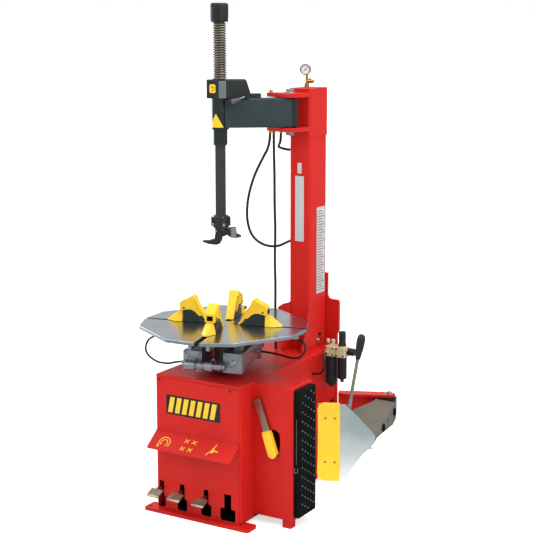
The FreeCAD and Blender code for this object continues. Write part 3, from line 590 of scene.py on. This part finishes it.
# ---------------------------------------------------------------- decals without lettering
def ribbon(points, width, low, high):
    """Flat band of a given width along points in the local plane."""
    spots = [Vector(p) for p in points]
    sides = []
    for i in range(len(spots)):
        ahead = (spots[min(i + 1, len(spots) - 1)] - spots[max(i - 1, 0)]).normalized()
        sides.append(Vector((-ahead.y, ahead.x)) * width / 2)
    shapes = []
    for i in range(len(spots) - 1):
        corners = [spots[i] + sides[i], spots[i + 1] + sides[i + 1],
                   spots[i + 1] - sides[i + 1], spots[i] - sides[i]]
        shapes.append(prism([tuple(c) for c in corners], low, high, 2))
    return merged(shapes)


def arc(x, y, radius, start, end):
    """Points along a circle between two angles in degrees."""
    steps = 16
    angles = [math.radians(start + (end - start) * k / steps) for k in range(steps + 1)]
    return [(x + radius * math.cos(a), y + radius * math.sin(a)) for a in angles]


def build_visor_marks():
    """Plain symbols on the pedal visor: a turning arrow, four clamps and a pressing blade."""
    visor_slope = math.radians(38.1)
    place = CABINET @ Matrix.Translation((0, -2, 307)) @ Matrix.Rotation(visor_slope, 4, "X")
    low, high = -0.1, 0.35
    marks = [
        ribbon(arc(61, -48, 23, -35, 200), 3.4, low, high),
        ribbon(arc(61, -48, 13, -60, 170), 3.4, low, high),
        prism([(34, -58), (46, -60), (40, -72)], low, high, 2),
        prism([(44, -48), (54, -52), (46, -58)], low, high, 2),
    ]
    for x, y in ((147, -24), (179, -24), (144, -57), (176, -57)):
        marks.append(ribbon([(x - 9, y - 7), (x, y), (x + 10, y + 6)], 3.6, low, high))
        marks.append(ribbon([(x - 7, y + 7), (x, y), (x + 8, y - 8)], 3.6, low, high))
    marks.append(ribbon([(247, -64), (262, -40), (272, -14)], 3.6, low, high))
    marks.append(prism([(254, -50), (266, -54), (273, -44), (268, -28)], low, high, 2))
    marks.append(ribbon([(270, -42), (288, -44)], 5.0, low, high))
    piece("visor_marks", merged(marks), place, "cabinet", "red_paint", "yellow_plastic")


def build_plain_labels():
    """A striped badge, a ruled label and two plain marks, all without lettering."""
    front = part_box("front_panel")[0].y * 1000 + ORIGIN_Y
    plate = block(45, front - 0.35, 374, 277, front + 0.1, 446)
    piece("front_badge", plate, CABINET, "cabinet", "black_plastic", bevel=0.3)
    bars = []
    for k in range(7):
        x = 52 + 30 * k
        corners = [(x, 381), (x + 20, 381), (x + 32, 439), (x + 12, 439)]
        bars.append(prism(corners, front - 0.6, front - 0.3, 1))
    piece("front_badge_stripes", merged(bars), CABINET, "cabinet", "red_paint",
          "yellow_plastic")
    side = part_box("column_tube")[1].x * 1000 + ORIGIN_X
    piece("column_label", block(side - 0.1, 616, 730, side + 0.35, 680, 1066), CABINET,
          "cabinet", "red_paint", "label_film", 0.2)
    rows = []
    for k in range(30):
        level = 742 + 10.6 * k
        rows.append(block(side + 0.3, 622, level, side + 0.55, 674 - 9 * (k % 3), level + 2.2))
    piece("column_label_rules", merged(rows), CABINET, "cabinet", "red_paint",
          "charcoal_paint")
    stripe = [block(252, COLUMN_FRONT - 0.35, 940, 290, COLUMN_FRONT + 0.1, 1190),
              block(262, COLUMN_FRONT - 0.35, 1200, 280, COLUMN_FRONT + 0.1, 1240)]
    piece("column_stripe", merged(stripe), CABINET, "cabinet", "red_paint", "label_film", 0.2)
    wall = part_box("wall_right")[1].x * 1000 + ORIGIN_X
    arrow = prism([(250, 446), (232, 438), (250, 430)], wall - 0.1, wall + 0.35, 0)
    piece("wall_mark", arrow, CABINET, "cabinet", "red_paint", "label_film")


def build_head_marks():
    """A yellow patch with dots on the head, a bright steel strip that is a painted reflection on the head's corner
    face, and a black block that is painted shade on the arm's end.
    """
    low, high = [edge.z * 1000 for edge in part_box("head_housing")]
    middle = (low + high) / 2 + 2
    nose = ARM @ Matrix.Translation((288.5, 22, middle)) @ Matrix.Rotation(
        math.radians(48.7), 4, "Z")
    outline = [(-14, -12), (-14, 12), (-10, 16), (10, 16), (14, 12), (14, -12), (10, -16),
               (-10, -16)]
    piece("head_patch", prism(outline, -0.1, 0.5, 0), nose, "swing_arm", "black_plastic",
          "yellow_plastic")
    dots = [lathe([(0.4, 3.4), (0.8, 3.4)], (0, y, z), (1, 0, 0), 20)
            for y, z in ((-4, 6), (5, 3), (1, -7))]
    piece("head_patch_dots", merged(dots), nose, "swing_arm", "red_paint")
    # a thin bright steel strip on the head's corner face: painted reflection of the light on that face
    strip = [(240, 42), (267, 40.2), (267, 41), (240, 42.8)]
    piece("head_sheen_strip", prism(strip, low + 2, high - 5, 2), ARM, "swing_arm",
          "machined_steel", "galvanised_steel")
    # a black block over the arm's end past the pin: painted shade on the end that faces away from the light
    piece("arm_end_shade", block(-24.5, -33.5, 1381, -2, 33.5, 1487), ARM, "swing_arm",
          "black_paint", bevel=3)


def build_sleeve_patch():
    """Yellow film round the front of the post sleeve, narrowing towards its top."""
    shape = bmesh.new()
    rows, columns, radius = 10, 8, 32.9
    grid = []
    for i in range(rows + 1):
        height = 1382 + 50 * i / rows
        half = 50 * (1 - i / rows) + 1.5
        line = []
        for j in range(columns + 1):
            angle = math.radians(58 + half * (2 * j / columns - 1))
            line.append(shape.verts.new((radius * math.cos(angle), radius * math.sin(angle),
                                         height)))
        grid.append(line)
    for one, two in zip(grid, grid[1:]):
        for j in range(columns):
            shape.faces.new((one[j], one[j + 1], two[j + 1], two[j]))
    bmesh.ops.recalc_face_normals(shape, faces=shape.faces)
    bmesh.ops.solidify(shape, geom=shape.faces[:], thickness=0.4)
    piece("sleeve_patch", shape, AT_POST, "swing_arm", "black_paint", "yellow_plastic")


# ---------------------------------------------------------------- bead breaker
def build_blade_handle():
    bottom, top = Vector((88, -13, 432)), Vector((44, -13, 704))
    axis = (top - bottom).normalized()
    stock = lathe([(0, 6), (205, 6)], bottom, axis, 24)
    bar = piece("handle_rod", stock, BLADE, "breaker_blade", "zinc_plate")
    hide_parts("blade_handle")
    socket = [lathe([(0, 6.4), (1, 7.2), (34, 7.2), (40, 6.2)], bottom, axis, 24),
              block(79, -13, 433, 93, -5, 451)]
    piece("handle_socket", merged(socket), BLADE, "breaker_blade", "machined_steel", bevel=0.8)
    profile = [(184, 6.2), (187, 8.4), (200, 10.6), (222, 13.6), (244, 14.9), (258, 14.8),
               (268, 12.6), (273, 8.6), (275, 4)]
    piece("handle_grip", lathe(profile, bottom, axis), BLADE, "breaker_blade", "black_plastic",
          sharp=60)


def build_breaker_details():
    """Screws of the blade's guard, the head of its pin, the arm's buffers, and a thin black sheet on the arm's top
    that is painted shade under the bracket plate.
    """
    heads, curve = [], 326
    for x in (134, 167):
        for z in (249, 407):
            lean = math.asin((z - 330) / curve)
            out = Vector((0, math.cos(lean), -math.sin(lean)))
            heads.append(lathe([(-0.5, 4.5), (0.8, 4.5), (1.6, 3)],
                               Vector((x, 330, 330)) - out * curve, out, 18))
    piece("guard_screws", merged(heads), BLADE, "breaker_blade", "zinc_plate", "brass")
    pin = lathe([(340, 10), (346, 10), (347, 8.5)], (30, -49, 0), UP, 6)
    piece("blade_pin_head", pin, BLADE, "breaker_blade", "machined_steel", bevel=0.6)
    start, end = Vector((742, 284, 0)), Vector((584, 780, 0))
    run = (end - start).normalized()
    out = Vector((run.y, -run.x, 0))
    buffers = []
    for distance, height in ((176, 302), (452, 279)):
        spot = start + run * distance + Vector((0, 0, height))
        buffers.append(lathe([(-1, 15), (4, 15), (8, 12), (9.5, 6)], spot, out, 28))
    piece("arm_buffers", merged(buffers), CABINET, "breaker_arm_body", "black_rubber")
    # a thin black sheet on the arm's top near the pin: painted shade in the gap under the bracket plate
    pad = [(503, 800), (503, 748), (592, 748), (580, 778), (566, 814), (540, 822)]
    piece("arm_top_shade", prism(pad, 307.9, 311.4, 2), CABINET, "breaker_arm_body",
          "black_rubber")


# ---------------------------------------------------------------- tyre lever and pad
def build_lever_grip():
    knee = Matrix.Translation((424, 0, 342)) @ Matrix.Rotation(math.radians(-18.85), 4, "Y")
    outline = [(-15, 8), (15, 8), (17.8, -4), (17.8, -78), (12, -89), (0, -93), (-12, -89),
               (-17.8, -78), (-17.8, -4)]
    piece("lever_grip", prism(outline, 61.2, 84.2, 1), CABINET @ knee, "lever_body",
          "yellow_plastic", bevel=5.0, segments=4)
    piece("lever_ferrule", block(-14.2, 70, 7, 14.2, 81.5, 15), CABINET @ knee, "lever_body",
          "machined_steel", bevel=1.5)


def build_pad_details():
    """Rows of small studs and a strip in a moulded groove, both lighter grey as painted highlights, and a wire
    clip on the rubber pad.
    """
    low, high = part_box("rubber_pad")
    face, front, foot = high.x * 1000 + ORIGIN_X, low.y * 1000 + ORIGIN_Y, low.z * 1000
    studs = []
    for column in range(5):
        for row in range(15):
            level = 48 + 33.6 * row - 12.4 * column
            if 14 < level < 450:
                studs.append(lathe([(-1, 3), (0, 3), (0.9, 2.2), (1.3, 0.8)],
                                   (face, front + 22 + 20 * column, foot + level),
                                   (1, 0, 0), 12))
    # the studs are lighter grey than the pad: painted highlight on each bump
    piece("pad_studs", merged(studs), CABINET, "cabinet", "black_rubber", "stud_sheen_rubber")
    middle = face - 12
    # a grey strip in the moulded groove: painted highlight along the groove in the black pad
    groove = block(middle - 1.2, front - 0.5, 236, middle + 1.2, front + 0.1, 400)
    piece("pad_groove_sheen", groove, CABINET, "cabinet", "black_rubber", "grey_plastic")
    wire = [(middle - 6, front - 1, 224), (middle - 6.5, front - 3, 212),
            (middle, front - 4, 206), (middle + 6.5, front - 3, 212),
            (middle + 6, front - 1, 224)]
    piece("pad_clip", swept(wire, 1.1), CABINET, "cabinet", "machined_steel")


# ---------------------------------------------------------------- pedals
def build_pedal_ribs():
    for number in (1, 2, 3):
        low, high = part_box("pedal_%d" % number)
        left, right = low.x * 1000 + ORIGIN_X + 2, high.x * 1000 + ORIGIN_X - 2
        ribs = []
        for k in range(6):
            y, z = -67 + 5.2 * k, 84.8 + 2.15 * k
            ribs.append(prism([(y - 1.1, z - 0.8), (y + 1.1, z), (y + 0.9, z + 1.3),
                               (y - 0.9, z + 0.6)], left, right, 0))
        piece("tread_ribs_%d" % number, merged(ribs), CABINET, "pedal_body_%d" % number,
              "zinc_plate", "worn_steel")
    # black sheets on the floor and back of the pedal well: painted shade inside the cabinet behind the pedal slots
    well_shade = [block(3, 124, 18.1, 357, 125, 135), block(3, 1, 18.1, 357, 124, 18.7)]
    piece("pedal_well_lining", merged(well_shade), CABINET, "cabinet", "black_rubber")


# ---------------------------------------------------------------- lock lever and mount tool
def build_lock_lever():
    root = Vector((222, 52, 1476))
    axis = (Vector((172, 52, 1496)) - root).normalized()
    profile = [(0, 9)]
    for k in range(9):
        along, radius = 5 + 3.4 * k, 10.6 - 0.6 * k
        profile += [(along, radius), (along + 2.2, radius), (along + 2.5, radius - 1.4),
                    (along + 3.2, radius - 1.4)]
    cone = piece("lever_cone", lathe(profile, root, axis, 28), ARM, "lock_lever_body",
                 "black_plastic", "grey_plastic")
    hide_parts("lock_lever")
    stem = lathe([(30, 3), (50, 2.6), (53, 1.6)], root, axis, 18)
    piece("lever_stem", stem, ARM, "lock_lever_body", "machined_steel")
    hub = [lathe([(0, 11), (1.5, 13), (16, 13), (17.6, 11)], (226, 42.4, 1474), (0, 1, 0)),
           lathe([(0, 6), (5.4, 6)], (226, 37.4, 1474), (0, 1, 0), 24)]
    piece("lever_hub", merged(hub), ARM, "lock_lever_body", "black_plastic")


def build_tool_details():
    """Clamping collar with its screws, and the steel insert of the mount tool."""
    collar = lathe([(1004, 22), (1006, 28.5), (1011, 30), (1022, 30), (1026, 27.5),
                    (1031, 27.5), (1035, 30), (1046, 30), (1052, 27), (1053, 22)],
                   (0, 0, 0), UP)
    piece("tool_collar", collar, AT_POST, "tool_post", "black_paint")
    screws = []
    for degrees in (15, 105, 195, 285):
        way = Vector((math.cos(math.radians(degrees)), math.sin(math.radians(degrees)), 0))
        screws.append(lathe([(0, 6), (8, 6), (9, 5)], way * 26 + Vector((0, 0, 1018)), way, 6))
    piece("tool_screws", merged(screws), AT_POST, "tool_post", "machined_steel", bevel=0.6)
    insert = prism([(-58, 969), (-37, 970), (-35, 1003), (-57, 1004)], -17.8, 14.8, 1)
    piece("tool_insert", insert, AT_POST, "tool_post", "machined_steel", bevel=1.5)


# ---------------------------------------------------------------- air service unit
def build_air_unit_details():
    """Bowl tip, drain button, fittings, knob skirt with ribs, screws and silencer rings."""
    x, y, z = 411, 610, 518
    point = lathe([(0, 3), (2, 6), (12, 17), (18, 21.8), (20, 22.3)], (x - 23, y, 374), UP)
    piece("bowl_tip", point, CABINET, "cabinet", "black_plastic")
    drain = lathe([(0, 5), (1, 7), (9, 7.6), (12, 6)], (x + 23, y, 398), UP, 24)
    fitting = lathe([(0, 7.4), (8, 7.4)], (x - 35, y - 6, z + 24), UP, 24)
    piece("drain_button", merged([drain, fitting]), CABINET, "cabinet", "red_paint",
          bevel=0.6)
    caps = [lathe([(0, 6.6), (8, 6.6), (9, 5)], (x - 35, y - 6, z + 36), UP, 24),
            lathe([(0, 7.6), (7, 7.6), (8, 6)], (x - 16, y, z + 36), UP, 6)]
    piece("fitting_caps", merged(caps), CABINET, "cabinet", "machined_steel", "label_film",
          0.4)
    skirt = lathe([(0, 16), (6, 15), (18, 13.2), (19, 12)], (x + 23, y, z + 24.6), UP)
    ribs = [skirt]
    count = 16
    for k in range(count):
        angle = 2 * math.pi * k / count
        spot = Vector((x + 23 + 12.7 * math.cos(angle), y + 12.7 * math.sin(angle), z + 44))
        ribs.append(lathe([(0, 1), (32, 1)], spot, UP, 8))
    piece("knob_ribs", merged(ribs), CABINET, "knob_body", "black_plastic")
    screws = [lathe([(0, 3.4), (1.2, 3.4), (1.8, 2)], (x + dx, y - 21, z + dz), (0, -1, 0), 18)
              for dx, dz in ((-38, 13), (-8, 13), (8, 13), (38, -13), (8, -13), (-8, -13))]
    piece("unit_screws", merged(screws), CABINET, "cabinet", "black_plastic")
    rings = [lathe([(0, 13.5), (2, 15), (3.5, 13.5)], (x + 51 + 4.2 * k, y, z + 4), (1, 0, 0))
             for k in range(5)]
    piece("silencer_rings", merged(rings), CABINET, "cabinet", "black_plastic")


def build_cabinet_details():
    """Bolt at the foot of the column and two small slots in the right wall."""
    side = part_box("column_tube")[1].x * 1000 + ORIGIN_X
    bolt = [lathe([(0, 9), (2, 9)], (side, 627, 545), (1, 0, 0), 24),
            lathe([(2, 7), (7, 7), (8, 6)], (side, 627, 545), (1, 0, 0), 6)]
    piece("column_bolt", merged(bolt), CABINET, "cabinet", "machined_steel", bevel=0.4)
    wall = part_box("wall_right")[1].x * 1000 + ORIGIN_X
    slots = [block(wall - 0.1, y, z, wall + 0.3, y + 13, z + 4)
             for y, z in ((640, 296), (668, 304))]
    piece("wall_slots", merged(slots), CABINET, "cabinet", "black_plastic")


# ---------------------------------------------------------------- camera, light and floor
def dim_reflection_of(material):
    """Darkens a material where it is only seen mirrored in the object's metal."""
    tree = material.node_tree
    colour = tree.nodes["Principled BSDF"].inputs["Base Color"]
    mirrored = node(tree, "ShaderNodeLightPath").outputs["Is Glossy Ray"]
    tree.links.new(mixed(tree, mirrored, colour.links[0].from_socket, (0.30, 0.34, 0.35)), colour)


def build_floor():
    bpy.ops.mesh.primitive_plane_add(size=900, location=(0, 0, 0))
    floor = bpy.context.object
    floor.name = "floor"
    pale = surface("floor", (0.86, 0.86, 0.86), (0.82, 0.82, 0.82), rough=(0.6, 0.75),
                   grain=60.0, bump=0.02)
    dim_reflection_of(pale)
    glowing = pale.node_tree.nodes["Principled BSDF"]
    glowing.inputs["Emission Color"].default_value = (1, 1, 1, 1)
    seen_directly = node(pale.node_tree, "ShaderNodeLightPath").outputs["Is Camera Ray"]
    pale.node_tree.links.new(ranged(pale.node_tree, seen_directly, 0, 1, 0.0, 0.62),
                             glowing.inputs["Emission Strength"])
    floor.data.materials.append(pale)


def build_world():
    """Soft studio light, dimmer from below, in front of a white background."""
    world = bpy.data.worlds.new("studio")
    world.use_nodes = True
    tree = world.node_tree
    room = tree.nodes["Background"]
    seen = node(tree, "ShaderNodeBackground")
    seen.inputs["Color"].default_value = (1, 1, 1, 1)
    split = node(tree, "ShaderNodeSeparateXYZ")
    tree.links.new(node(tree, "ShaderNodeTexCoord").outputs["Generated"], split.inputs[0])
    glow = ranged(tree, split.outputs["Z"], -0.1, 0.9, 0.0, 1.0)
    tree.links.new(mixed(tree, glow, (0.32, 0.34, 0.36), (1.0, 1.0, 1.0)),
                   room.inputs["Color"])
    room.inputs["Strength"].default_value = 1.15
    pick = node(tree, "ShaderNodeMixShader")
    tree.links.new(node(tree, "ShaderNodeLightPath").outputs["Is Camera Ray"], pick.inputs[0])
    tree.links.new(room.outputs[0], pick.inputs[1])
    tree.links.new(seen.outputs[0], pick.inputs[2])
    tree.links.new(pick.outputs[0], tree.nodes["World Output"].inputs["Surface"])
    bpy.context.scene.world = world


def build_lights():
    # name, place, target, size in metres, power in watts
    lights = (
        ("key", (-2.2, -3.2, 3.6), (0, 0, 0.7), 2.4, 60),
        ("left", (-3.2, 0.6, 1.1), (0, 0, 0.55), 1.6, 45),
        ("fill", (3.6, -1.6, 2.4), (0.1, 0, 0.7), 2.0, 38),
        ("top", (1.2, 0.3, 4.0), (0.1, 0, 0.5), 2.5, 62),
    )
    for name, spot, target, size, power in lights:
        lamp = bpy.data.lights.new(name, "AREA")
        lamp.specular_factor = 0.15
        lamp.shape = "SQUARE"
        lamp.size = size
        lamp.energy = power
        made = bpy.data.objects.new(name, lamp)
        made.location = spot
        aim = Vector(target) - Vector(spot)
        made.rotation_euler = aim.to_track_quat("-Z", "Y").to_euler()
        bpy.context.scene.collection.objects.link(made)


def build_camera():
    lens = bpy.data.cameras.new("camera")
    lens.sensor_width = 36
    lens.lens = 89.8
    lens.shift_x = -0.0246
    lens.shift_y = -0.0675
    made = bpy.data.objects.new("camera", lens)
    made.location = (2.587, -4.102, 1.798)
    made.rotation_euler = (math.radians(80.71), 0, math.radians(30.86))
    bpy.context.scene.collection.objects.link(made)
    bpy.context.scene.camera = made
    bpy.context.scene.view_settings.view_transform = "Standard"


dress_cad_nodes()
build_hoses()
build_spring()
build_jaw_guards()
build_clamp_details()
build_gauge()
build_visor_marks()
build_plain_labels()
build_head_marks()
build_sleeve_patch()
build_blade_handle()
build_breaker_details()
build_lever_grip()
build_pad_details()
build_pedal_ribs()
build_lock_lever()
build_tool_details()
build_air_unit_details()
build_cabinet_details()
build_floor()
build_world()
build_lights()
build_camera()
